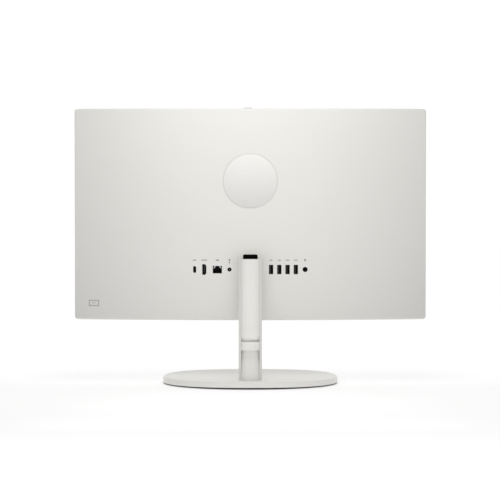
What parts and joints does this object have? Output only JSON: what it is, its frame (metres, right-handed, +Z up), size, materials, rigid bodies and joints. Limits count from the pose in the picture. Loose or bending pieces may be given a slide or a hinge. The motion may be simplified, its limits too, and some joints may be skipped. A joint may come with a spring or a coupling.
{
  "type": "all in one pc",
  "caption": "All-in-one desktop computer: a wide screen with the computer behind it, tilting on a round-backed column and an oval foot.",
  "frame": {"origin": "on the desk, under the middle of the foot's oval footprint", "axes": "+Z up; the screen faces -Y and the sockets face +Y; +X is to the right of someone looking at the screen"},
  "size_m": [0.541, 0.172, 0.4234],
  "materials": {
    "base_cover": "fine matt moulding",
    "base_bottom_cover": "moulded underside",
    "base_feet": "soft pads",
    "base_weight": "pressed steel plate",
    "base_screws": "zinc plated",
    "base_thumbscrew": "turned steel",
    "column_shell": "fine matt moulding",
    "column_rear_cover": "fine matt moulding",
    "cable_band": "fine matt moulding",
    "column_core": "drawn tube",
    "core_flange": "pressed plate",
    "hinge_arm": "black coated steel",
    "arm_screws": "zinc plated",
    "rear_cover": "fine matt moulding",
    "emblem_disc": "polished, plain",
    "top_grilles": "moulded slots",
    "bottom_grille": "moulded slots",
    "bezel_frame": "satin black",
    "chin_cover": "fine matt moulding",
    "cover_screws": "zinc plated",
    "lcd_cell": "anti-glare dark glass",
    "optical_sheets": "diffusing film",
    "light_guide": "clear acrylic",
    "led_strip": "white board",
    "panel_tray": "galvanised sheet",
    "panel_board": "solder mask",
    "chassis_plate": "galvanised sheet",
    "hinge_bracket": "black coated pressed steel",
    "hinge_pin": "ground pin",
    "hinge_nut": "locking nut",
    "hinge_washers": "friction washers",
    "chassis_screws": "zinc plated",
    "motherboard": "solder mask",
    "cold_plate": "machined",
    "heat_pipe": "bare copper colour",
    "fin_stack": "thin fins",
    "fan_housing": "moulded",
    "fan_rotor": "moulded",
    "memory_sockets": "moulded",
    "memory_modules": "solder mask",
    "ssd_card": "solder mask",
    "wifi_card": "solder mask",
    "coin_cell": "bright cell",
    "antennas": "foil",
    "camera_module": "board and barrel",
    "camera_lens": "coated lens",
    "camera_shutter": "grey slide",
    "power_button": "satin key",
    "power_switch_board": "solder mask",
    "status_light_pipe": "clear rod",
    "usb_a_sockets": "plated shell",
    "usb_c_socket": "plated shell",
    "hdmi_socket": "plated shell",
    "lan_socket": "moulded",
    "lan_shield": "plated sheet",
    "dc_socket": "moulded",
    "audio_socket": "moulded",
    "speaker_left": "sealed box",
    "speaker_right": "sealed box"
  },
  "bodies": {
    "stand": {"base_cover": "base_cover", "base_bottom_cover": "base_bottom_cover", "base_feet": "base_feet", "base_weight": "base_weight", "base_screws": "base_screws", "base_thumbscrew": "base_thumbscrew", "column_shell": "column_shell", "column_rear_cover": "column_rear_cover", "cable_band": "cable_band", "column_core": "column_core", "core_flange": "core_flange", "hinge_arm": "hinge_arm", "arm_screws": "arm_screws"},
    "head": {"rear_cover": "rear_cover", "emblem_disc": "emblem_disc", "top_grilles": "top_grilles", "bottom_grille": "bottom_grille", "bezel_frame": "bezel_frame", "chin_cover": "chin_cover", "cover_screws": "cover_screws", "lcd_cell": "lcd_cell", "optical_sheets": "optical_sheets", "light_guide": "light_guide", "led_strip": "led_strip", "panel_tray": "panel_tray", "panel_board": "panel_board", "chassis_plate": "chassis_plate", "hinge_bracket": "hinge_bracket", "hinge_pin": "hinge_pin", "hinge_nut": "hinge_nut", "hinge_washers": "hinge_washers", "chassis_screws": "chassis_screws", "motherboard": "motherboard", "cold_plate": "cold_plate", "heat_pipe": "heat_pipe", "fin_stack": "fin_stack", "fan_housing": "fan_housing", "memory_sockets": "memory_sockets", "memory_modules": "memory_modules", "ssd_card": "ssd_card", "wifi_card": "wifi_card", "coin_cell": "coin_cell", "antennas": "antennas", "camera_module": "camera_module", "camera_lens": "camera_lens", "power_switch_board": "power_switch_board", "status_light_pipe": "status_light_pipe", "usb_a_sockets": "usb_a_sockets", "usb_c_socket": "usb_c_socket", "hdmi_socket": "hdmi_socket", "lan_socket": "lan_socket", "lan_shield": "lan_shield", "dc_socket": "dc_socket", "audio_socket": "audio_socket", "speaker_left": "speaker_left", "speaker_right": "speaker_right"},
    "camera_shutter": {"camera_shutter": "camera_shutter"},
    "power_button": {"power_button": "power_button"},
    "fan_rotor": {"fan_rotor": "fan_rotor"}
  },
  "joints": [
    {"name": "head_tilt", "type": "hinge", "parent": "stand", "child": "head", "pos_m": [0, 0.019, 0.183], "axis": [-1, 0, 0], "range_deg": [-5, 20]},
    {"name": "shutter_slide", "type": "slide", "parent": "head", "child": "camera_shutter", "axis": [-1, 0, 0], "range_m": [0, 0.0086]},
    {"name": "power_press", "type": "slide", "parent": "head", "child": "power_button", "axis": [0, 0, 1], "range_m": [0, 0.0006], "stiffness_N_per_m": 300, "springref_m": -0.001},
    {"name": "fan_spin", "type": "hinge", "parent": "head", "child": "fan_rotor", "pos_m": [-0.06, 0.003, 0.35], "axis": [0, 1, 0], "continuous": true}
  ]
}
